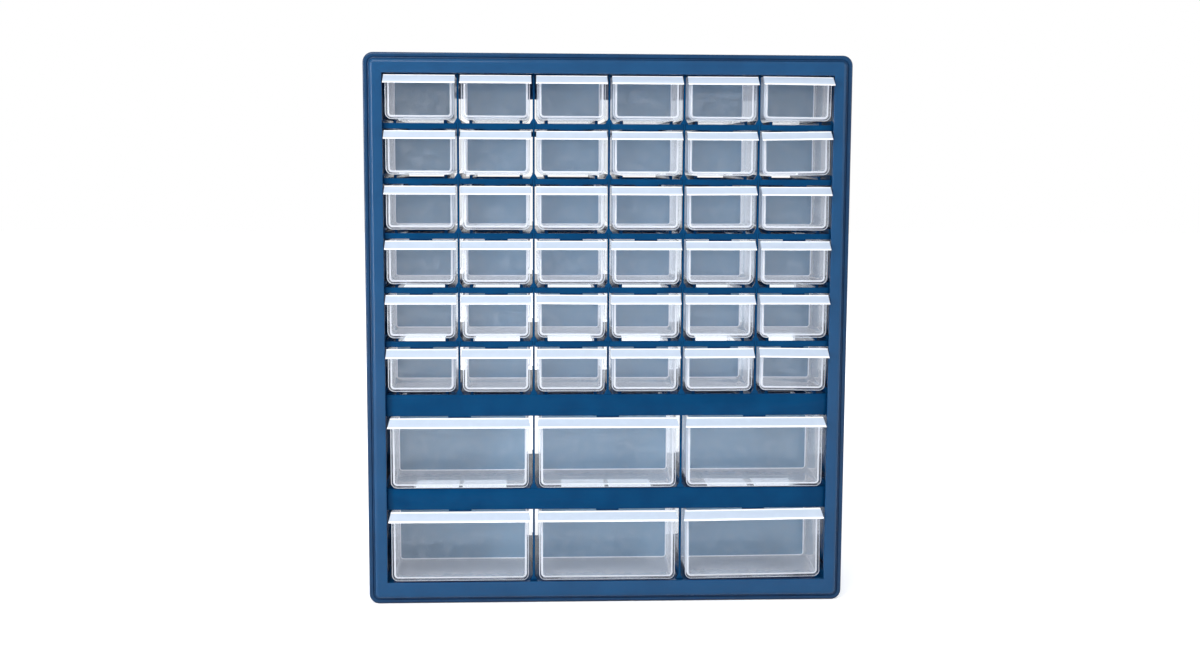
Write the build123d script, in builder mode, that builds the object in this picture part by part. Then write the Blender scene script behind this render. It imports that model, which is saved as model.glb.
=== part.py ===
from build123d import *
from math import cos, hypot, radians, sin, sqrt
import os

os.makedirs("parts", exist_ok=True)

# Parts bin cabinet: a moulded case that holds six rows of six small clear drawers
# above two rows of three large ones. Sizes are in millimetres.
# +X is to the right, +Z is up and the front looks along -Y. The origin lies on the
# table, under the middle of the space that the closed cabinet takes up.

# ---------------------------------------------------------------- driving sizes

# The grid of cells, as seen from the front
small_columns = 6
small_rows = 6
columns_per_large_cell = 2
cell_width = 57.2
divider_thickness = 1.6
small_cell_height = 38.2
large_cell_height = 58.6
shelf_edge = 4.4
apron_height = 17.0
rim_side = 14.9
rim_top = 15.9
rim_bottom = 18.0

# The case, from front to back
case_depth = 152.0
corner_radius = 8.0
crown_setback = 3.5
crown_inset = 5.0
crown_corner = 4.0
crown_round = 3.2
flange_edge = 1.6
flange_wall = 3.0
rim_plate = 4.0
bezel_depth = 14.0
bezel_stop = 2.5
shell_wall = 2.5
rear_frame_depth = 12.0
rear_plate = 4.0
rear_edge = 2.0
rear_top_rail = 30.0

# Keyholes in the top rail of the rear frame
keyhole_spacing = 254.0
keyhole_head = 9.0
keyhole_slot = 4.6
keyhole_rise = 8.0
keyhole_margin = 20.0

# Shelves
front_edge_depth = 4.0
shelf_fit = 0.2
ledge_width = 3.0
ledge_height = 3.0
apron_overlap = 6.0
rail_width = 2.4
small_rail_inset = 7.0
small_rail_height = 2.6
large_rail_inset = 16.65
large_rail_height = 0.6
guide_height = 3.5
stop_bar_reach = 4.0
stop_bar_depth = 3.0
window_margin = 8.0
tab_width = 18.0
tab_depth = 1.6
tab_root = 4.0

# Upright dividers
divider_depth = 6.0
gusset_width = 2.4
gusset_height = 4.0
lap_fit = 0.1

# Drawers
pane_setback = 1.5
drawer_rear_room = 13.5
drawer_top_room = 1.3
small_side_room = 2.1
large_side_room = 3.35
drawer_wall = 1.5
drawer_corner = 5.0
drawer_corner_flats = 3
running_gap = 0.3
lip_reach = 8.5
lip_wall = 1.5
small_lip_height = 7.2
small_lip_room = 1.0
small_lip_narrowing = 0.2
large_lip_height = 9.6
large_lip_room = 1.7
large_lip_narrowing = 1.5
catch_width = 22.0
cross_divider_place = 62.0
cross_divider_thickness = 1.2
cross_divider_drop = 2.0
groove_depth = 0.7
groove_fit = 0.2

# ---------------------------------------------------------------- derived sizes

column_pitch = cell_width + divider_thickness
opening_width = small_columns * column_pitch - divider_thickness
case_width = opening_width + 2 * rim_side
small_row_pitch = small_cell_height + shelf_edge
small_field = small_rows * small_row_pitch - shelf_edge
large_columns = small_columns // columns_per_large_cell
large_pitch = columns_per_large_cell * column_pitch

# Heights of the cell floors, from the bottom row up
large_floor_2 = rim_bottom
large_floor_1 = large_floor_2 + large_cell_height + apron_height
small_floor_last = large_floor_1 + large_cell_height + apron_height
opening_top = small_floor_last + small_field
opening_height = opening_top - rim_bottom
case_height = opening_top + rim_top
case_middle = case_height / 2
opening_middle = (opening_top + rim_bottom) / 2

overall_depth = case_depth + lip_reach - pane_setback
rim_front = -overall_depth / 2 + lip_reach - pane_setback

shell_front = crown_setback + bezel_stop
shell_rear = case_depth - rear_plate
shell_width = case_width - 2 * flange_wall
shell_height = case_height - 2 * flange_wall
shell_radius = corner_radius - flange_wall
hollow_width = shell_width - 2 * shell_wall
hollow_height = shell_height - 2 * shell_wall

shelf_width = hollow_width - 2 * shelf_fit
shelf_depth = shell_rear - rim_plate

# Drawers fill their cells, less the room round them
large_cell_width = columns_per_large_cell * column_pitch - divider_thickness
drawer_length = shell_rear - pane_setback - drawer_rear_room
small_drawer_width = cell_width - 2 * small_side_room
large_drawer_width = large_cell_width - 2 * large_side_room
small_drawer_height = small_cell_height - small_rail_height - running_gap - drawer_top_room
large_drawer_height = large_cell_height - large_rail_height - running_gap - drawer_top_room
stop_bar_front = pane_setback + drawer_length + running_gap

# The stop tabs hang level with the drawers' top edges; the catches rise behind them
tab_drop = drawer_top_room
catch_rise = drawer_top_room - running_gap
small_rail_offset = small_drawer_width / 2 - small_rail_inset
large_rail_offset = large_drawer_width / 2 - large_rail_inset


def plane_at(depth):
    """Upright plane, this far behind the rim's front; its normal looks at the viewer."""
    return Plane.XZ.offset(-(rim_front + depth))


def small_floor(row):
    """Height of the floor of small row 1 (top) to 6 (bottom)."""
    return opening_top - small_cell_height - (row - 1) * small_row_pitch


def guide_places(count, pitch):
    """Places across the case, evenly spaced about its middle."""
    return [(index - (count - 1) / 2) * pitch for index in range(count)]


small_cells = guide_places(small_columns, column_pitch)
large_cells = guide_places(large_columns, large_pitch)
small_guides = guide_places(small_columns + 1, column_pitch)
large_guides = guide_places(large_columns + 1, large_pitch)
small_rails = [x + side * small_rail_offset for x in small_cells for side in (-1, 1)]
large_rails = [x + side * large_rail_offset for x in large_cells for side in (-1, 0, 1)]

# ---------------------------------------------------------------- front bezel

with BuildPart() as front_bezel:
    with BuildSketch(plane_at(bezel_depth)):
        with Locations((0, case_middle)):
            RectangleRounded(case_width, case_height, corner_radius)
    extrude(amount=bezel_depth - crown_setback)
    chamfer(front_bezel.faces().sort_by(Axis.Y)[0].edges(), length=flange_edge)
    # the raised crown of the rim
    with BuildSketch(plane_at(crown_setback)):
        with Locations((0, case_middle)):
            RectangleRounded(
                case_width - 2 * crown_inset, case_height - 2 * crown_inset, crown_corner
            )
    extrude(amount=crown_setback)
    fillet(front_bezel.faces().sort_by(Axis.Y)[0].edges(), radius=crown_round)
    # the seat of the case shell, then the deeper pocket inside it
    with BuildSketch(plane_at(bezel_depth)):
        with Locations((0, case_middle)):
            RectangleRounded(shell_width, shell_height, shell_radius)
    extrude(amount=bezel_depth - shell_front, mode=Mode.SUBTRACT)
    with BuildSketch(plane_at(shell_front)):
        with Locations((0, case_middle)):
            Rectangle(hollow_width, hollow_height)
    extrude(amount=shell_front - rim_plate, mode=Mode.SUBTRACT)
    with BuildSketch(plane_at(rim_plate)):
        with Locations((0, opening_middle)):
            Rectangle(opening_width, opening_height)
    extrude(amount=rim_plate, mode=Mode.SUBTRACT)
    # stop tabs of the top row, on the back of the rim
    with BuildSketch(plane_at(rim_plate + tab_depth)):
        with Locations(*[(x, opening_top - tab_drop) for x in small_cells]):
            Rectangle(tab_width, tab_drop + tab_root, align=(Align.CENTER, Align.MIN))
    extrude(amount=tab_depth)

front_bezel.part.label = "front_bezel"
export_step(front_bezel.part, "parts/front_bezel.step")

# ---------------------------------------------------------------- case shell

shelf_floors = [small_floor(row) for row in range(1, small_rows + 1)]
shelf_floors += [large_floor_1, large_floor_2]
ledge_x = (hollow_width - ledge_width) / 2

with BuildPart() as case_shell:
    with BuildSketch(plane_at(shell_rear)):
        with Locations((0, case_middle)):
            RectangleRounded(shell_width, shell_height, shell_radius)
            Rectangle(hollow_width, hollow_height, mode=Mode.SUBTRACT)
    extrude(amount=shell_rear - shell_front)
    # ledges that carry the ends of the shelves
    with BuildSketch(plane_at(shell_rear)):
        with Locations(*[(s * ledge_x, z - shelf_edge) for z in shelf_floors for s in (-1, 1)]):
            Rectangle(ledge_width, ledge_height, align=(Align.CENTER, Align.MAX))
    extrude(amount=shell_rear - shell_front)
    # the stop bar behind the drawers of the top row
    with BuildSketch(Plane.XY.offset(opening_top - stop_bar_reach)):
        with Locations((0, rim_front + stop_bar_front)):
            Rectangle(opening_width, stop_bar_depth, align=(Align.CENTER, Align.MIN))
    extrude(amount=case_middle + hollow_height / 2 - opening_top + stop_bar_reach)

case_shell.part.label = "case_shell"
export_step(case_shell.part, "parts/case_shell.step")

# ---------------------------------------------------------------- rear frame

rear_opening_top = case_height - rear_top_rail
rear_opening_height = rear_opening_top - rim_bottom
keyhole_z = case_height - keyhole_margin

with BuildPart() as rear_frame:
    with BuildSketch(plane_at(case_depth)):
        with Locations((0, case_middle)):
            RectangleRounded(case_width, case_height, corner_radius)
    extrude(amount=rear_frame_depth)
    chamfer(rear_frame.faces().sort_by(Axis.Y)[-1].edges(), length=rear_edge)
    with BuildSketch(plane_at(shell_rear)):
        with Locations((0, case_middle)):
            RectangleRounded(shell_width, shell_height, shell_radius)
    extrude(amount=rear_frame_depth - rear_plate, mode=Mode.SUBTRACT)
    with BuildSketch(plane_at(case_depth)):
        with Locations((0, rim_bottom)):
            Rectangle(opening_width, rear_opening_height, align=(Align.CENTER, Align.MIN))
    extrude(amount=rear_plate, mode=Mode.SUBTRACT)
    # each keyhole: a round hole for the screw's head with a slot above it
    with BuildSketch(plane_at(case_depth)):
        with Locations((-keyhole_spacing / 2, keyhole_z), (keyhole_spacing / 2, keyhole_z)):
            Circle(keyhole_head / 2)
            Rectangle(keyhole_slot, keyhole_rise, align=(Align.CENTER, Align.MIN))
        with Locations(
            (-keyhole_spacing / 2, keyhole_z + keyhole_rise),
            (keyhole_spacing / 2, keyhole_z + keyhole_rise),
        ):
            Circle(keyhole_slot / 2)
    extrude(amount=rear_plate, mode=Mode.SUBTRACT)

rear_frame.part.label = "rear_frame"
export_step(rear_frame.part, "parts/rear_frame.step")

# ---------------------------------------------------------------- shelves


def write_copy(shape, name, x, z):
    """Write a copy of a piece that is drawn about its own cell, moved to its place."""
    copy = shape.moved(Location((x, 0, z)))
    copy.label = name
    export_step(copy, f"parts/{name}.step")


def make_shelf(front_height, rails, rail_height, guides, notches, tabs):
    """One shelf, drawn with its upper face at height 0; its front edge hangs front_height."""
    front_y = rim_front + rim_plate
    window_front = front_y + front_edge_depth
    rail_length = rim_front + stop_bar_front - window_front
    gaps = [(a, b) for a, b in zip(rails, rails[1:]) if not any(a < x < b for x in guides)]
    with BuildPart() as shelf:
        # the plate, with windows between the rails
        with BuildSketch(Plane.XY.offset(-shelf_edge)):
            with Locations((0, front_y)):
                Rectangle(shelf_width, shelf_depth, align=(Align.CENTER, Align.MIN))
            for a, b in gaps:
                with Locations(((a + b) / 2, window_front)):
                    Rectangle(
                        b - a - rail_width, rail_length - window_margin,
                        align=(Align.CENTER, Align.MIN), mode=Mode.SUBTRACT,
                    )
            # notches for the upright dividers
            for x in notches:
                with Locations((x, front_y)):
                    Rectangle(
                        divider_thickness + 2 * lap_fit, divider_depth + lap_fit,
                        align=(Align.CENTER, Align.MIN), mode=Mode.SUBTRACT,
                    )
        extrude(amount=shelf_edge)
        # rails under the drawers
        with BuildSketch(Plane.XY):
            with Locations(*[(x, window_front) for x in rails]):
                Rectangle(rail_width, rail_length, align=(Align.CENTER, Align.MIN))
        extrude(amount=rail_height)
        # side guides between the columns
        with BuildSketch(Plane.XY):
            with Locations(*[(x, front_y + divider_depth + lap_fit) for x in guides]):
                Rectangle(
                    divider_thickness, shelf_depth - divider_depth - lap_fit,
                    align=(Align.CENTER, Align.MIN),
                )
        extrude(amount=guide_height)
        # a wide front edge hangs below the plate
        if front_height > shelf_edge:
            with BuildSketch(Plane.XY.offset(-front_height)):
                with Locations((0, front_y)):
                    Rectangle(
                        opening_width + 2 * apron_overlap, front_edge_depth,
                        align=(Align.CENTER, Align.MIN),
                    )
            extrude(amount=front_height - shelf_edge)
        # stop tabs in front of the drawers of the row below, and a stop bar behind them
        if tabs:
            with BuildSketch(Plane.XY.offset(-front_height - tab_drop)):
                with Locations(*[(x, front_y) for x in tabs]):
                    Rectangle(tab_width, tab_depth, align=(Align.CENTER, Align.MIN))
            extrude(amount=tab_drop)
            with BuildSketch(Plane.XY.offset(-front_height - stop_bar_reach)):
                with Locations((0, rim_front + stop_bar_front)):
                    Rectangle(opening_width, stop_bar_depth, align=(Align.CENTER, Align.MIN))
            extrude(amount=front_height - shelf_edge + stop_bar_reach)
    return shelf.part


thin_shelf = make_shelf(
    shelf_edge, small_rails, small_rail_height, small_guides, small_guides[1:-1], small_cells
)
for row in range(1, small_rows):
    write_copy(thin_shelf, f"shelf_{row}", 0, small_floor(row))

apron_shelf_1 = make_shelf(
    apron_height, small_rails, small_rail_height, small_guides, [], large_cells
)
write_copy(apron_shelf_1, "apron_shelf_1", 0, small_floor_last)

apron_shelf_2 = make_shelf(
    apron_height, large_rails, large_rail_height, large_guides, [], large_cells
)
write_copy(apron_shelf_2, "apron_shelf_2", 0, large_floor_1)

floor_shelf = make_shelf(shelf_edge, large_rails, large_rail_height, large_guides, [], [])
write_copy(floor_shelf, "floor_shelf", 0, large_floor_2)

# ---------------------------------------------------------------- upright dividers

foot_half = divider_thickness / 2 + gusset_width


def draw_foot(x, z):
    """The flared foot of an upright, standing on a shelf edge at height z."""
    Polygon(
        (x - foot_half, z), (x + foot_half, z),
        (x + divider_thickness / 2, z + gusset_height),
        (x - divider_thickness / 2, z + gusset_height), align=None,
    )


# one tall divider per small column line, with a flared foot on each shelf edge
with BuildPart() as small_dividers:
    with BuildSketch(plane_at(rim_plate + divider_depth)):
        for x in small_guides[1:-1]:
            with Locations((x, small_floor_last)):
                Rectangle(
                    divider_thickness, small_field + tab_root, align=(Align.CENTER, Align.MIN)
                )
            for row in range(1, small_rows + 1):
                draw_foot(x, small_floor(row))
    extrude(amount=divider_depth)

small_dividers.part.label = "small_dividers"
export_step(small_dividers.part, "parts/small_dividers.step")

# a short divider between each two large drawers
with BuildPart() as large_dividers:
    with BuildSketch(plane_at(rim_plate + divider_depth)):
        for x in large_guides[1:-1]:
            for floor in (large_floor_1, large_floor_2):
                with Locations((x, floor)):
                    Rectangle(
                        divider_thickness, large_cell_height, align=(Align.CENTER, Align.MIN)
                    )
                draw_foot(x, floor)
    extrude(amount=divider_depth)

large_dividers.part.label = "large_dividers"
export_step(large_dividers.part, "parts/large_dividers.step")

# ---------------------------------------------------------------- drawers


def make_wedge(top, height, reach, half_width, narrowing):
    """A wedge in front of a drawer's pane, narrower at the pane than at its lower edge."""
    pane_y = rim_front + pane_setback
    foot = top - height
    with BuildPart() as wedge:
        with BuildSketch(Plane.YZ):
            Polygon((pane_y, top), (pane_y, foot), (pane_y - reach, foot), align=None)
        extrude(amount=half_width, both=True)
        with BuildSketch(Plane.XY.offset(foot)):
            Polygon(
                (narrowing - half_width, pane_y), (-half_width, pane_y - reach),
                (half_width, pane_y - reach), (half_width - narrowing, pane_y), align=None,
            )
        extrude(amount=height, mode=Mode.INTERSECT)
    return wedge.part


def draw_box_front(half_width, bottom, top, corner, flats):
    """A drawer's outline from the front, with its lower corners turned in equal flats."""
    turns = [radians(90 * step / flats) for step in range(flats + 1)]
    right = [
        (half_width - corner + corner * sin(turn), bottom + corner - corner * cos(turn))
        for turn in turns
    ]
    left = [(-x, z) for x, z in reversed(right)]
    Polygon((-half_width, top), *left, *right, (half_width, top), align=None)


def make_drawer(rail_height, width, height, lip_half, narrowing, lip_height):
    """A clear drawer with its pull lip and its loose cross divider, above a floor at 0."""
    bottom = rail_height + running_gap
    top = bottom + height
    rear = pane_setback + drawer_length
    inner_width = width - 2 * drawer_wall
    # a flat inside corner that leaves the wall as thick as its sides
    inner_corner = (drawer_corner - drawer_wall) * (2 - sqrt(2))
    divider_front = pane_setback + cross_divider_place
    divider_rear = divider_front + cross_divider_thickness
    # how far the lip's wall is measured straight down, and its inner reach
    lip_drop = lip_wall * hypot(lip_reach, lip_height) / lip_reach
    inner_share = 1 - lip_drop / lip_height
    lip = make_wedge(top, lip_height, lip_reach, lip_half, narrowing)
    lip_hollow = make_wedge(
        top - lip_drop, lip_height - lip_drop, lip_reach * inner_share,
        lip_half - lip_wall, narrowing * inner_share,
    )
    with BuildPart() as drawer:
        with BuildSketch(plane_at(rear)):
            draw_box_front(width / 2, bottom, top, drawer_corner, drawer_corner_flats)
        extrude(amount=drawer_length)
        add(lip)
        add(lip_hollow, mode=Mode.SUBTRACT)
        with BuildSketch(plane_at(rear - drawer_wall)):
            draw_box_front(inner_width / 2, bottom + drawer_wall, top, inner_corner, 1)
        extrude(amount=drawer_length - 2 * drawer_wall, mode=Mode.SUBTRACT)
        # the raised middle of the rear wall, which meets the stop tab
        with BuildSketch(plane_at(rear)):
            with Locations((0, top)):
                Rectangle(catch_width, catch_rise, align=(Align.CENTER, Align.MIN))
        extrude(amount=drawer_wall)
        # the grooves in the side walls that hold the cross divider
        with BuildSketch(Plane.XY.offset(bottom + drawer_wall + inner_corner)):
            with Locations((0, rim_front + (divider_front + divider_rear) / 2)):
                Rectangle(
                    inner_width + 2 * groove_depth, cross_divider_thickness + 2 * groove_fit
                )
        extrude(amount=height, mode=Mode.SUBTRACT)
    # the cross divider stands on the floor, with its sides in the grooves
    with BuildPart() as cross_divider:
        with BuildSketch(plane_at(divider_rear)) as plate:
            with Locations((0, bottom + drawer_wall)):
                Rectangle(
                    inner_width + 2 * (groove_depth - groove_fit),
                    height - drawer_wall - cross_divider_drop,
                    align=(Align.CENTER, Align.MIN),
                )
            chamfer(
                plate.vertices().group_by(Axis.Y)[0],
                length=inner_corner + groove_depth + groove_fit,
            )
        extrude(amount=cross_divider_thickness)
    return Compound([drawer.part.solid(), cross_divider.part.solid()])


small_drawer = make_drawer(
    small_rail_height, small_drawer_width, small_drawer_height,
    cell_width / 2 - small_lip_room, small_lip_narrowing, small_lip_height,
)
for row in range(1, small_rows + 1):
    for column, x in enumerate(small_cells, start=1):
        write_copy(small_drawer, f"small_drawer_r{row}_c{column}", x, small_floor(row))

large_drawer = make_drawer(
    large_rail_height, large_drawer_width, large_drawer_height,
    large_cell_width / 2 - large_lip_room, large_lip_narrowing, large_lip_height,
)
for row, floor in enumerate((large_floor_1, large_floor_2), start=1):
    for column, x in enumerate(large_cells, start=1):
        write_copy(large_drawer, f"large_drawer_r{row}_c{column}", x, floor)
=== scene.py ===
import math

import bmesh
import bpy
from mathutils import Matrix, Vector


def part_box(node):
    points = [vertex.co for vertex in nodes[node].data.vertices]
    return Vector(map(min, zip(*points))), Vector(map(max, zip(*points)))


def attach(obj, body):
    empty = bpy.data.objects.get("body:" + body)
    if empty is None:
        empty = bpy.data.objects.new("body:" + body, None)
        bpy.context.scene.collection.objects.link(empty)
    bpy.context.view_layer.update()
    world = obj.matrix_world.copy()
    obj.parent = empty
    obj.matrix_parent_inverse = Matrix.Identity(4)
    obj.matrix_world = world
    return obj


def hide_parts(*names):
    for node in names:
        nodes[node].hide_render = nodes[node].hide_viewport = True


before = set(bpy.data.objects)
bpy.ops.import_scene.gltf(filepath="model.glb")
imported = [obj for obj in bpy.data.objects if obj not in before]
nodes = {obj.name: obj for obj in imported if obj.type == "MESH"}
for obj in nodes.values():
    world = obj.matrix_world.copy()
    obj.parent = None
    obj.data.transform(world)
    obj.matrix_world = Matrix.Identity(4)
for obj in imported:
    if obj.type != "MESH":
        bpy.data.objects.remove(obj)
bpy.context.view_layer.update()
scene = bpy.context.scene
scene.view_settings.view_transform = "Standard"
scene.cycles.transparent_max_bounces = 32  # a sight line passes many clear walls
mm = 0.001
print("frame loaded:", len(nodes), "nodes")


# Colours and nodes

def linear(hexColour):
    channels = [int(hexColour[i:i + 2], 16) / 255 for i in (1, 3, 5)]
    return [c / 12.92 if c <= 0.04045 else ((c + 0.055) / 1.055) ** 2.4 for c in channels] + [1]


def addNode(tree, kind, settings=None, links=None):
    node = tree.nodes.new(kind)
    for name, value in (settings or {}).items():
        if isinstance(name, int) or name in node.inputs:
            node.inputs[name].default_value = value
        else:
            setattr(node, name, value)
    for name, socket in (links or {}).items():
        tree.links.new(socket, node.inputs[name])
    return node


def newMaterial(name):
    material = bpy.data.materials.new(name)
    material.use_nodes = True
    material.node_tree.nodes.clear()
    return material, material.node_tree


def perMetre(sizeInMm):
    return 1 / (sizeInMm * mm)  # noise scale whose patches are about this size


def seenDirectly(tree):
    path = addNode(tree, "ShaderNodeLightPath")
    mirrored = addNode(tree, "ShaderNodeMath", {"operation": "MAXIMUM"},
                       {0: path.outputs["Is Camera Ray"], 1: path.outputs["Is Glossy Ray"]})
    seen = addNode(tree, "ShaderNodeMath", {"operation": "MAXIMUM"},
                   {0: mirrored.outputs[0], 1: path.outputs["Is Transmission Ray"]})
    return seen.outputs[0]


# Camera, at the photograph's viewing angle

cameraSetup = {
    "location": (-65.5, -1253.1, 355.4),  # mm
    "target": (-6.7, -72.5, 217.3),
    "roll": 0.258,  # degrees
    "lens": 45.28,
}


def makeCamera():
    camera = bpy.data.objects.new("camera", bpy.data.cameras.new("camera"))
    camera.data.lens = cameraSetup["lens"]
    place = Vector(cameraSetup["location"]) * mm
    aim = Vector(cameraSetup["target"]) * mm - place
    turn = aim.to_track_quat("-Z", "Y").to_matrix().to_4x4()
    roll = Matrix.Rotation(math.radians(cameraSetup["roll"]), 4, "Z")
    camera.matrix_world = Matrix.Translation(place) @ turn @ roll
    scene.collection.objects.link(camera)
    scene.camera = camera


# Studio: white surroundings, a pale floor and soft lamps

studio = {
    "fill": 0.55,  # how brightly the surroundings light the object
    "fillColour": "#f6f8fc",
    "aim": (0, 0, 0.22),  # metres, where the lamps point
    "floorColour": "#f3f4f6",
    "floorRoughness": 0.9,
    "floorSize": 12.0,  # metres
    "floorGlow": (0.42, 0.60),  # under the cabinet and far from it, where less lamplight falls
    "floorFar": 1.6,  # metres
}
lamps = {  # metres and watts
    "keyLamp": {"place": (-0.8, -1.7, 1.9), "size": 1.4, "power": 31},
    "sideLamp": {"place": (1.8, -1.2, 0.9), "size": 1.2, "power": 8},
    "backLamp": {"place": (0.3, 1.8, 1.5), "size": 1.6, "power": 14},
    "stripLamp": {"place": (-1.5, -1.1, 0.3), "size": 0.25, "height": 1.5, "power": 26},
}


def makeStudio():
    world = bpy.data.worlds.new("studio")
    scene.world = world
    world.use_nodes = True
    tree = world.node_tree
    tree.nodes.clear()
    fill = addNode(tree, "ShaderNodeBackground",
                   {"Color": linear(studio["fillColour"]), "Strength": studio["fill"]})
    white = addNode(tree, "ShaderNodeBackground", {"Color": (1, 1, 1, 1), "Strength": 1.0})
    both = addNode(tree, "ShaderNodeMixShader",
                   links={0: seenDirectly(tree), 1: fill.outputs[0], 2: white.outputs[0]})
    addNode(tree, "ShaderNodeOutputWorld", links={"Surface": both.outputs[0]})

    # Painted board, rolled with matt emulsion: pale and without a sheen. It glows to the camera
    # alone, so that it meets the white round it and keeps the cabinet's shadow
    material, tree = newMaterial("paintedBoard")
    place = addNode(tree, "ShaderNodeTexCoord").outputs["Object"]
    away = addNode(tree, "ShaderNodeVectorMath", {"operation": "LENGTH"}, {0: place})
    near, far = studio["floorGlow"]
    level = addNode(tree, "ShaderNodeMapRange",
                    {"From Max": studio["floorFar"], "To Min": near, "To Max": far},
                    {"Value": away.outputs["Value"]})
    glow = addNode(tree, "ShaderNodeMath", {"operation": "MULTIPLY"},
                   {0: seenDirectly(tree), 1: level.outputs[0]})
    board = addNode(tree, "ShaderNodeBsdfPrincipled",
                    {"Base Color": linear(studio["floorColour"]), "Roughness": studio["floorRoughness"],
                     "Emission Color": (1, 1, 1, 1)},
                    {"Emission Strength": glow.outputs[0]})
    addNode(tree, "ShaderNodeOutputMaterial", links={"Surface": board.outputs[0]})

    bm = bmesh.new()
    bmesh.ops.create_grid(bm, x_segments=1, y_segments=1, size=studio["floorSize"] / 2)
    mesh = bpy.data.meshes.new("floor")
    bm.to_mesh(mesh)
    bm.free()
    mesh.materials.append(material)
    floor = bpy.data.objects.new("floor", mesh)
    scene.collection.objects.link(floor)

    for name, setup in lamps.items():
        lamp = bpy.data.objects.new(name, bpy.data.lights.new(name, "AREA"))
        lamp.data.shape = "RECTANGLE" if "height" in setup else "DISK"
        lamp.data.size = setup["size"]
        if "height" in setup:
            lamp.data.size_y = setup["height"]
        lamp.data.energy = setup["power"]
        place = Vector(setup["place"])
        aim = Vector(studio["aim"]) - place
        lamp.matrix_world = Matrix.Translation(place) @ aim.to_track_quat("-Z", "Y").to_matrix().to_4x4()
        scene.collection.objects.link(lamp)


# Case: high-impact polystyrene, injection moulded. Navy blue in faintly uneven patches, with a
# soft gloss and a fine orange peel, and painted shade where two surfaces meet

bluePlastic = {
    "rimColour": "#134974",
    "rimShade": "#0d3d64",
    "flangeShadedColour": "#0c3f68",  # painted shade: the flange and its cove lie lower than the crown, and their darker blue stands for shade; the moulding is one plastic
    "flangeShade": "#062b4a",
    # painted shade: the shelves and uprights, recessed behind the rim, in a darker blue than the rim's,
    # though the same plastic
    "gridShadedColour": "#04446f",
    "gridShade": "#003056",
    "rimGloss": 0.20,  # specular level
    "gridGloss": 0.05,
    "paintedCornerShade": "#001438",  # painted shade, in corners and under edges
    "paintedCornerShadeReach": 3.2,  # mm
    "paintedCornerShadeRange": (0.25, 0.85),  # how open a spot is where the painted shade ends and the blue begins
    "paintedCornerShadeSamples": 6,
    "cloud": 22.0,  # mm, patches of slightly different shade
    "cloudDetail": 3.0,
    "peel": 0.9,  # mm, drawn coarser than the real 0.3 so that it shows
    "peelDetail": 2.0,
    "peelHeight": 0.005,  # mm
    "roughness": (0.13, 0.24),
    "ior": 1.55,
}


def makeBluePlastic(name, colour, shade, gloss):
    material, tree = newMaterial(name)
    place = addNode(tree, "ShaderNodeTexCoord").outputs["Object"]
    cloud = addNode(tree, "ShaderNodeTexNoise",
                    {"Scale": perMetre(bluePlastic["cloud"]), "Detail": bluePlastic["cloudDetail"]},
                    {"Vector": place})
    tone = addNode(tree, "ShaderNodeMix", {"data_type": "RGBA"}, {"Factor": cloud.outputs["Fac"]})
    tone.inputs[6].default_value = linear(shade)
    tone.inputs[7].default_value = linear(colour)
    # painted shade: ambient occlusion darkens the blue in corners and under edges
    openness = addNode(tree, "ShaderNodeAmbientOcclusion",
                       {"samples": bluePlastic["paintedCornerShadeSamples"], "Distance": bluePlastic["paintedCornerShadeReach"] * mm})
    dark, bright = bluePlastic["paintedCornerShadeRange"]
    clear = addNode(tree, "ShaderNodeMapRange", {"From Min": dark, "From Max": bright},
                    {"Value": openness.outputs["AO"]})
    blue = addNode(tree, "ShaderNodeMix", {"data_type": "RGBA"}, {"Factor": clear.outputs[0]})
    blue.inputs[6].default_value = linear(bluePlastic["paintedCornerShade"])
    tree.links.new(tone.outputs[2], blue.inputs[7])
    low, high = bluePlastic["roughness"]
    rough = addNode(tree, "ShaderNodeMapRange", {"To Min": low, "To Max": high},
                    {"Value": cloud.outputs["Fac"]})
    peel = addNode(tree, "ShaderNodeTexNoise",
                   {"Scale": perMetre(bluePlastic["peel"]), "Detail": bluePlastic["peelDetail"]},
                   {"Vector": place})
    bump = addNode(tree, "ShaderNodeBump",
                   {"Strength": 1.0, "Distance": bluePlastic["peelHeight"] * mm},
                   {"Height": peel.outputs["Fac"]})
    plastic = addNode(tree, "ShaderNodeBsdfPrincipled",
                      {"IOR": bluePlastic["ior"], "Specular IOR Level": gloss},
                      {"Base Color": blue.outputs[2], "Roughness": rough.outputs[0],
                       "Normal": bump.outputs[0]})
    addNode(tree, "ShaderNodeOutputMaterial", links={"Surface": plastic.outputs[0]})
    return material


# Drawers: general-purpose polystyrene, injection moulded. Water clear, so that the white round the
# cabinet shows through it; it mirrors more and more as it is seen along its length. Its cut and rounded
# edges are painted near-white and glow, and its inside glows too: painted highlights and painted light

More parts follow.
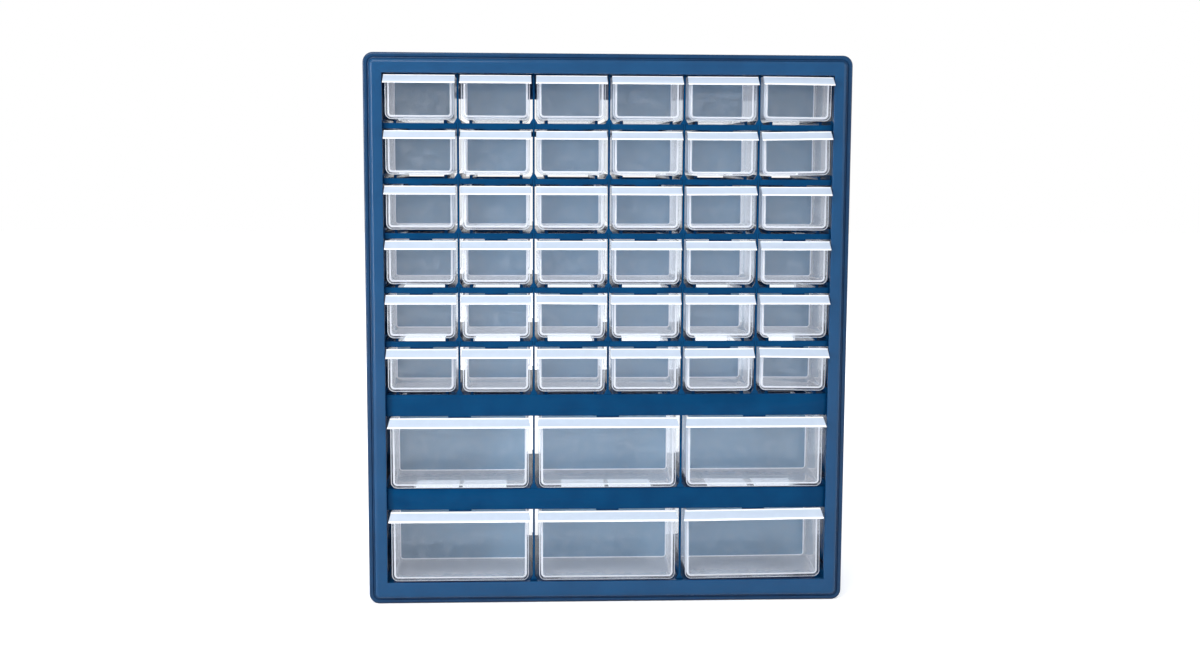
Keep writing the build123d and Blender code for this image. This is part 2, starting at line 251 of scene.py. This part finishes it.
clearPlastic = {  # faceOn and edgeOn: the opaque share, seen square on and along the surface; the white that grows along the surface is a painted reflection
    # rim, outline and fillet: edges painted near-white and glowing, as painted highlights; inside: the
    # floor and the inner sides, glowing as painted light
    "wall": {"colour": "#f0f2fa", "faceOn": 0.02, "edgeOn": 0.12, "glow": 0.0},
    "lip": {"colour": "#cbd8e8", "faceOn": 0.86, "edgeOn": 0.95, "glow": 0.0},
    "rim": {"colour": "#fbfcff", "faceOn": 0.96, "edgeOn": 0.98, "glow": 0.15},
    "outline": {"colour": "#d3dcea", "faceOn": 0.60, "edgeOn": 0.75, "glow": 0.10},
    "fillet": {"colour": "#fbfcff", "faceOn": 0.55, "edgeOn": 0.75, "glow": 0.35},
    "inside": {"colour": "#fffdff", "faceOn": 0.10, "edgeOn": 0.60, "glow": 0.20},
    # the cross divider: clear polystyrene, drawn nearly opaque in grey-blue, which stands for the dim
    # inside of the drawer: painted shade
    "divider": {"colour": "#84aecb", "faceOn": 0.90, "edgeOn": 0.96, "glow": 0.0},
    # the colour of the painted glow
    "paintedGlowColour": "#f2f4ff",
    "tint": "#fafcfe",
    "slantPower": 1.5,  # how slowly the opaque share grows as the surface turns away
    "haze": 6.0,  # mm, cloudy patches of wear
    "hazeDetail": 5.0,
    "hazeRange": (0.45, 0.75),  # noise levels from clear to cloudy
    "hazeDepth": 0.035,
    "roughness": 0.08,
    "ior": 1.59,
    "mirror": (0.02, 0.35),  # share of light mirrored square on and along the surface
    "mirrorPower": 5.0,
}


def makeClearPlastic(name, look):
    material, tree = newMaterial(name)
    place = addNode(tree, "ShaderNodeTexCoord").outputs["Object"]
    slant = addNode(tree, "ShaderNodeLayerWeight", {"Blend": 0.5})
    steep = addNode(tree, "ShaderNodeMath", {"operation": "POWER", 1: clearPlastic["slantPower"]},
                    {0: slant.outputs["Facing"]})
    solid = addNode(tree, "ShaderNodeMapRange",
                    {"To Min": look["faceOn"], "To Max": look["edgeOn"]}, {"Value": steep.outputs[0]})
    haze = addNode(tree, "ShaderNodeTexNoise",
                   {"Scale": perMetre(clearPlastic["haze"]), "Detail": clearPlastic["hazeDetail"]},
                   {"Vector": place})
    clean, cloudy = clearPlastic["hazeRange"]
    worn = addNode(tree, "ShaderNodeMapRange",
                   {"From Min": clean, "From Max": cloudy, "To Max": clearPlastic["hazeDepth"]},
                   {"Value": haze.outputs["Fac"]})
    share = addNode(tree, "ShaderNodeMath", {"operation": "ADD", "use_clamp": True},
                    {0: solid.outputs[0], 1: worn.outputs[0]})
    # painted light: edges and the inside give out the glow below, though they are no lamp
    plastic = addNode(tree, "ShaderNodeBsdfPrincipled",
                      {"Base Color": linear(look["colour"]), "IOR": clearPlastic["ior"],
                       "Roughness": clearPlastic["roughness"],
                       "Emission Color": linear(clearPlastic["paintedGlowColour"]),
                       "Emission Strength": look["glow"]})
    through = addNode(tree, "ShaderNodeBsdfTransparent", {"Color": linear(clearPlastic["tint"])})
    body = addNode(tree, "ShaderNodeMixShader",
                   links={0: share.outputs[0], 1: through.outputs[0], 2: plastic.outputs[0]})
    grazing = addNode(tree, "ShaderNodeMath", {"operation": "POWER", 1: clearPlastic["mirrorPower"]},
                      {0: slant.outputs["Facing"]})
    faceOn, edgeOn = clearPlastic["mirror"]
    mirror = addNode(tree, "ShaderNodeMapRange", {"To Min": faceOn, "To Max": edgeOn},
                     {"Value": grazing.outputs[0]})
    gloss = addNode(tree, "ShaderNodeBsdfAnisotropic", {"Roughness": clearPlastic["roughness"]})
    both = addNode(tree, "ShaderNodeMixShader",
                   links={0: mirror.outputs[0], 1: body.outputs[0], 2: gloss.outputs[0]})
    addNode(tree, "ShaderNodeOutputMaterial", links={"Surface": both.outputs[0]})
    return material


# Mesh helpers, in millimetres

nearly = 0.01  # mm, what counts as the same place


def boxOf(bm, low, high):
    low, high = Vector(low), Vector(high)
    made = bmesh.ops.create_cube(bm, size=1)["verts"]
    bmesh.ops.scale(bm, vec=high - low, verts=made)
    bmesh.ops.translate(bm, vec=(low + high) / 2, verts=made)
    return made


def edgesOf(verts, test):
    edges = {edge for vert in verts for edge in vert.link_edges}
    return [edge for edge in edges if test((edge.verts[0].co + edge.verts[1].co) / 2,
                                           edge.verts[1].co - edge.verts[0].co)]


def bevelEdges(bm, edges, width, segments):
    return bmesh.ops.bevel(bm, geom=edges, offset=width, segments=segments, profile=0.5,
                           affect="EDGES", clamp_overlap=True, material=-1)["faces"]


def shadeByAngle(bm, degrees):
    for face in bm.faces:
        face.smooth = True
    for edge in bm.edges:
        edge.smooth = edge.is_manifold and edge.calc_face_angle(0) < math.radians(degrees)


def finishPiece(bm, name, materials, node, body):
    mesh = bpy.data.meshes.new(name)
    bm.to_mesh(mesh)
    bm.free()
    for material in materials:
        mesh.materials.append(material)
    piece = bpy.data.objects.new(name, mesh)
    scene.collection.objects.link(piece)
    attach(piece, body)
    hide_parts(node)


# Front bezel: a flange with a soft edge, a shallow cove, and a raised crown round the opening

bezel = {
    "corner": 8.0,
    "flangeEdge": 1.6,
    "flangeSteps": 4,
    "flangeSetback": 3.5,
    "flangeFrom": 2.6,  # setback from which the flange's blue, with painted shade, begins
    "cove": [(3.1, 3.5), (3.5, 3.9), (4.0, 4.05), (4.5, 3.9), (4.85, 3.55)],  # inset, setback
    "coveCorner": 0.8,  # how much of the inset the corner's radius loses
    "crownInset": 5.0,
    "crownCorner": 4.0,
    "crownRound": 3.2,
    "crownSteps": 7,
    "opening": (14.9, 15.9, 18.0),  # its sides, top and bottom, from the case's outside
    "openingCorner": 0.4,
    "openingRound": 0.5,
    "openingSteps": 3,
    "plate": 4.0,
    "hollowInset": 5.5,
    "shellInset": 3.0,
    "shellCorner": 5.0,
    "shellSetback": 6.0,
    "depth": 14.0,
    "cornerSteps": 8,
    "tabWidth": 18.0,
    "tabDepth": 1.6,
    "tabRoot": 4.0,
    "tabDrop": 1.3,
    "tabEdge": 0.3,
    "tabSteps": 2,
    "smooth": 35,  # degrees up to which an edge is shaded smooth
}


def addRing(bm, insets, setback, corner):
    low, high = caseCorners
    side, top, bottom = insets
    before = set(bm.faces)
    flat = bmesh.ops.create_grid(bm, x_segments=1, y_segments=1, size=0.5)["verts"]
    bmesh.ops.scale(bm, vec=(high.x - low.x - 2 * side, high.z - low.z - top - bottom, 1), verts=flat)
    bmesh.ops.rotate(bm, cent=(0, 0, 0), matrix=Matrix.Rotation(math.radians(90), 3, "X"), verts=flat)
    middle = (low.z + bottom + high.z - top) / 2
    bmesh.ops.translate(bm, vec=(0, low.y + setback, middle), verts=flat)
    bmesh.ops.bevel(bm, geom=flat, offset=corner, segments=bezel["cornerSteps"], profile=0.5,
                    affect="VERTICES", material=-1)
    face = (set(bm.faces) - before).pop()
    edges = list(face.edges)
    bmesh.ops.delete(bm, geom=[face], context="FACES_ONLY")
    return edges


def roundSteps(count):
    turns = [math.radians(90 * step / count) for step in range(count + 1)]
    return [(1 - math.cos(turn), 1 - math.sin(turn)) for turn in turns]


def makeBezel(materials):
    edge, crown, soft = bezel["flangeEdge"], bezel["crownRound"], bezel["openingRound"]
    even = [(0, bezel["depth"], bezel["corner"])]
    even += [(edge * across, bezel["flangeSetback"] + edge * back, bezel["corner"] - edge * across)
             for across, back in roundSteps(bezel["flangeSteps"])]
    even += [(inset, setback, bezel["corner"] - inset * bezel["coveCorner"])
             for inset, setback in bezel["cove"]]
    even += [(bezel["crownInset"] + crown * across, crown * back, bezel["crownCorner"] - crown * across)
             for across, back in roundSteps(bezel["crownSteps"])]
    bm = bmesh.new()
    rings = [addRing(bm, (inset,) * 3, setback, corner) for inset, setback, corner in even]
    for across, back in roundSteps(bezel["openingSteps"]):
        insets = [inset - soft * back for inset in bezel["opening"]]
        rings.append(addRing(bm, insets, soft * across, bezel["openingCorner"] + soft * back))
    rings.append(addRing(bm, bezel["opening"], bezel["plate"], bezel["openingCorner"]))
    for inset, setback, corner in [(bezel["hollowInset"], bezel["plate"], bezel["openingCorner"]),
                                   (bezel["hollowInset"], bezel["shellSetback"], bezel["openingCorner"]),
                                   (bezel["shellInset"], bezel["shellSetback"], bezel["shellCorner"]),
                                   (bezel["shellInset"], bezel["depth"], bezel["shellCorner"])]:
        rings.append(addRing(bm, (inset,) * 3, setback, corner))
    for ring, following in zip(rings, rings[1:] + rings[:1]):
        bmesh.ops.bridge_loops(bm, edges=ring + following)
    # stop tabs behind the opening's upper edge, one over each drawer of the top row
    low, high = caseCorners
    foot = high.z - bezel["opening"][1] - bezel["tabDrop"]
    root = foot + bezel["tabDrop"] + bezel["tabRoot"]
    front = low.y + bezel["plate"]
    half = bezel["tabWidth"] / 2
    for name in nodes:
        if name.startswith("small_drawer_r1_"):
            drawerLow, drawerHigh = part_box(name)
            middle = (drawerLow.x + drawerHigh.x) / 2 / mm
            tab = boxOf(bm, (middle - half, front, foot),
                        (middle + half, front + bezel["tabDepth"], root))
            bevelEdges(bm, edgesOf(tab, lambda mid, run: mid.z < foot + nearly),
                       bezel["tabEdge"], bezel["tabSteps"])
    bmesh.ops.scale(bm, vec=(mm, mm, mm), verts=bm.verts)
    bmesh.ops.recalc_face_normals(bm, faces=bm.faces)
    shadeByAngle(bm, bezel["smooth"])
    # the flange and its cove take the darker blue of painted shade
    for face in bm.faces:
        if face.calc_center_median().y > (low.y + bezel["flangeFrom"]) * mm:
            face.material_index = 1
    finishPiece(bm, "bezel_moulded", materials, "front_bezel", "cabinet")


# Shell, rear frame, shelves and uprights: the CAD shape with the soft edges of a moulding

softEdge = {
    "radius": 0.3,  # mm
    "steps": 2,
    "turn": 30,  # degrees from which an edge is rounded
    "smooth": 35,
    "merge": 0.001,  # mm
    "flat": 1,  # degrees below which two faces become one
}


def makeSoftEdged(name, material):
    bm = bmesh.new()
    bm.from_mesh(nodes[name].data)
    bmesh.ops.remove_doubles(bm, verts=bm.verts, dist=softEdge["merge"] * mm)
    bmesh.ops.dissolve_limit(bm, angle_limit=math.radians(softEdge["flat"]), verts=bm.verts,
                             edges=bm.edges)
    sharp = [edge for edge in bm.edges
             if edge.is_manifold and edge.calc_face_angle(0) > math.radians(softEdge["turn"])]
    bmesh.ops.bevel(bm, geom=sharp, offset=softEdge["radius"] * mm, segments=softEdge["steps"],
                    profile=0.5, affect="EDGES", clamp_overlap=False, material=-1)
    for face in bm.faces:
        face.material_index = 0
    shadeByAngle(bm, softEdge["smooth"])
    finishPiece(bm, name + "_moulded", [material], name, "cabinet")


# One drawer: tray, pull lip, catch and cross divider, all in millimetres about its own cell

tray = {
    "wall": 1.5,
    "corner": 5.0,
    "cornerSteps": (5, 6),  # inside and outside
    "softEdge": 0.7,
    "softSteps": 2,
    "innerFillet": 1.6,
    "filletSteps": 3,
    "lipReach": 8.5,
    "lipWall": 1.5,
    "lipRim": 1.9,  # the lower edge of the lip, painted near-white as a highlight
    "lipTop": 1.1,  # the upper edge, painted near-white as a highlight
    "catchWidth": 22.0,
    "catchRise": 1.0,
    "dividerPlace": 62.0,
    "dividerThickness": 1.2,
    "dividerDrop": 2.0,
    "dividerRoom": 0.1,  # to the side walls
    "dividerLift": 0.05,  # over the floor
    "dividerCorner": 2.2,
    "dividerSteps": 3,
    "dividerEdge": 0.9,  # its cut edge, painted near-white with a glow as a highlight
    "smooth": 32,
}
smallTray = {"width": 53.0, "lipHeight": 6.6, "lipNarrowing": 0.2}
largeTray = {"width": 109.3, "lipHeight": 6.8, "lipNarrowing": 1.5}
askew = {  # degrees at the pane, anticlockwise as seen from the front
    "small_drawer_r1_c6": -0.5, "small_drawer_r2_c6": 0.9, "small_drawer_r3_c5": 0.4,
    "small_drawer_r5_c3": -0.4, "small_drawer_r6_c6": -0.7, "small_drawer_r6_c5": 0.3,
    "large_drawer_r2_c3": 0.6,
}
wallLook, lipLook, rimLook, outlineLook, filletLook, insideLook, dividerLook = range(7)  # material slots


def addTray(bm, width, front, rear, bottom, top):
    wall, corner = tray["wall"], tray["corner"]
    half = width / 2
    boxOf(bm, (-half, front, bottom), (half, rear, top))
    # the hollow: the top face is inset by the wall and sunk to the floor
    lid = [face for face in bm.faces if face.calc_center_median().z > top - nearly]
    bmesh.ops.inset_region(bm, faces=lid, thickness=wall, use_even_offset=True)
    sunk = bmesh.ops.extrude_discrete_faces(bm, faces=lid)["faces"]
    floorVerts = [vert for face in sunk for vert in face.verts]
    bmesh.ops.translate(bm, vec=(0, 0, bottom + wall - top), verts=floorVerts)
    bm.normal_update()
    # the floor and the inner sides take the inside look, whose glow is painted light
    for vert in floorVerts:
        for face in vert.link_faces:
            if abs(face.normal.y) < 0.5:
                face.material_index = insideLook
    inside, outside = tray["cornerSteps"]
    bevelEdges(bm, edgesOf(floorVerts, lambda mid, run: abs(run.x) < nearly and abs(run.z) < nearly),
               corner - wall, inside)
    # the fillet where the pane and the rear wall meet the sides and the floor, inside, painted near-white
    # with a glow as a highlight
    inner = [front + wall, rear - wall]
    fillets = bevelEdges(bm, edgesOf(bm.verts, lambda mid, run: abs(run.y) < nearly
                                     and mid.z < top - nearly
                                     and min(abs(mid.y - y) for y in inner) < nearly),
                         tray["innerFillet"], tray["filletSteps"])
    for face in fillets:
        face.material_index = filletLook
    # the long lower corners outside, then a soft edge round the pane and the rear wall, painted pale with
    # a glow as a highlight
    bevelEdges(bm, edgesOf(bm.verts, lambda mid, run: mid.z < bottom + nearly and abs(run.x) < nearly),
               corner, outside)
    outer = [front, rear]
    outline = bevelEdges(bm, edgesOf(bm.verts, lambda mid, run: abs(run.y) < nearly
                                     and mid.z < top - nearly
                                     and min(abs(mid.y - y) for y in outer) < nearly),
                         tray["softEdge"], tray["softSteps"])
    for face in outline:
        face.material_index = outlineLook
    bm.normal_update()
    # the tops of the walls: painted highlight, near-white with a glow
    for face in bm.faces:
        if abs(face.normal.z) > 0.9 and face.calc_center_median().z > top - nearly:
            face.material_index = rimLook


def addPrism(bm, outline, left, right, look):
    verts = [bm.verts.new((left, y, z)) for y, z in outline]
    side = bm.faces.new(verts)
    grown = bmesh.ops.extrude_face_region(bm, geom=[side])["geom"]
    moved = [item for item in grown if isinstance(item, bmesh.types.BMVert)]
    bmesh.ops.translate(bm, vec=(right - left, 0, 0), verts=moved)
    made = set(verts + moved)
    for face in bm.faces:
        if set(face.verts) <= made:
            face.material_index = look
    return list(made)


def addLip(bm, half, narrowing, front, top, height):
    reach, wall = tray["lipReach"], tray["lipWall"]
    slope = math.hypot(reach, height)
    drop = wall * slope / reach  # the wall, measured straight down
    foot = top - height
    # cuts across the plate: its upper edge, its field, and its lower edge, the two edges with painted
    # highlights
    shares = [0, tray["lipTop"] / slope, 1 - tray["lipRim"] / slope, 1]
    outside = [(front - reach * share, top - height * share) for share in shares]
    inside = [(front - (reach * (1 - drop / height)) * share, top - drop - (height - drop) * share)
              for share in shares]
    plate = []
    for index, look in enumerate((rimLook, lipLook, rimLook)):
        ring = [outside[index], outside[index + 1], inside[index + 1], inside[index]]
        plate += addPrism(bm, ring, -half, half, look)
    cheek = [inside[0], inside[3], (front, foot)]
    plate += addPrism(bm, cheek, -half, wall - half, lipLook)
    plate += addPrism(bm, cheek, half - wall, half, lipLook)
    for vert in plate:  # narrower at the pane than at the lower edge
        depth = (vert.co.y - front + reach) / reach
        vert.co.x -= math.copysign(narrowing * depth, vert.co.x)


def addDivider(bm, width, front, bottom, top):
    half = width / 2 - tray["wall"] - tray["dividerRoom"]
    place = front + tray["dividerPlace"]
    before = set(bm.faces)
    made = boxOf(bm, (-half, place, bottom + tray["wall"] + tray["dividerLift"]),
                 (half, place + tray["dividerThickness"], top - tray["dividerDrop"]))
    bevelEdges(bm, edgesOf(made, lambda mid, run: abs(run.y) > nearly and mid.z < (bottom + top) / 2),
               tray["dividerCorner"], tray["dividerSteps"])
    bm.normal_update()
    broad = [face for face in bm.faces if face not in before and abs(face.normal.y) > 0.9]
    bmesh.ops.inset_individual(bm, faces=broad, thickness=tray["dividerEdge"], use_even_offset=True)
    # the broad faces grey-blue, the cut edges with the painted highlight
    for face in bm.faces:
        if face not in before:
            face.material_index = dividerLook if face in broad else rimLook


def makeDrawer(name, size, looks):
    low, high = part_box(name)
    centre = (low.x + high.x) / 2 / mm
    front = low.y / mm + tray["lipReach"]
    rear = high.y / mm
    bottom = low.z / mm
    top = high.z / mm - tray["catchRise"]
    bm = bmesh.new()
    addTray(bm, size["width"], front, rear, bottom, top)
    addLip(bm, (high.x - low.x) / 2 / mm, size["lipNarrowing"], front, top, size["lipHeight"])
    catch = [(rear - tray["wall"], top), (rear, top), (rear, top + tray["catchRise"]),
             (rear - tray["wall"], top + tray["catchRise"])]
    addPrism(bm, catch, -tray["catchWidth"] / 2, tray["catchWidth"] / 2, wallLook)
    addDivider(bm, size["width"], front, bottom, top)
    turn = math.radians(askew.get(name, 0))
    pivot = Vector((-math.copysign(size["width"] / 2, turn), 0, bottom))
    for vert in bm.verts:  # twisted towards the front, as where it rides up on a guide
        share = (rear - vert.co.y) / (rear - front)
        vert.co = Matrix.Rotation(-turn * share, 3, "Y") @ (vert.co - pivot) + pivot
    bmesh.ops.translate(bm, vec=(centre, 0, 0), verts=bm.verts)
    bmesh.ops.scale(bm, vec=(mm, mm, mm), verts=bm.verts)
    bmesh.ops.recalc_face_normals(bm, faces=bm.faces)
    shadeByAngle(bm, tray["smooth"])
    finishPiece(bm, name + "_clear", looks, name, name)


makeCamera()
makeStudio()
print("camera and studio made")

rimBlue = makeBluePlastic("mouldedPolystyreneRim", bluePlastic["rimColour"],
                          bluePlastic["rimShade"], bluePlastic["rimGloss"])
flangeShadedBlue = makeBluePlastic("mouldedPolystyreneFlangeInPaintedShade", bluePlastic["flangeShadedColour"],
                             bluePlastic["flangeShade"], bluePlastic["rimGloss"])
# the recessed grid's blue, darker as painted shade
gridShadedBlue = makeBluePlastic("mouldedPolystyreneGridInPaintedShade", bluePlastic["gridShadedColour"],
                           bluePlastic["gridShade"], bluePlastic["gridGloss"])
caseCorners = [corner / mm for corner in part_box("front_bezel")]
makeBezel([rimBlue, flangeShadedBlue])
for name in nodes:
    if "drawer" not in name and name != "front_bezel":
        makeSoftEdged(name, rimBlue if name in ("case_shell", "rear_frame") else gridShadedBlue)
print("case made")

looks = [makeClearPlastic("clearPolystyrene" + part.capitalize(), clearPlastic[part])
         for part in ("wall", "lip", "rim", "outline", "fillet", "inside", "divider")]
drawers = [name for name in nodes if "drawer" in name]
for name in drawers:
    makeDrawer(name, smallTray if name.startswith("small") else largeTray, looks)
print("drawers made:", len(drawers))
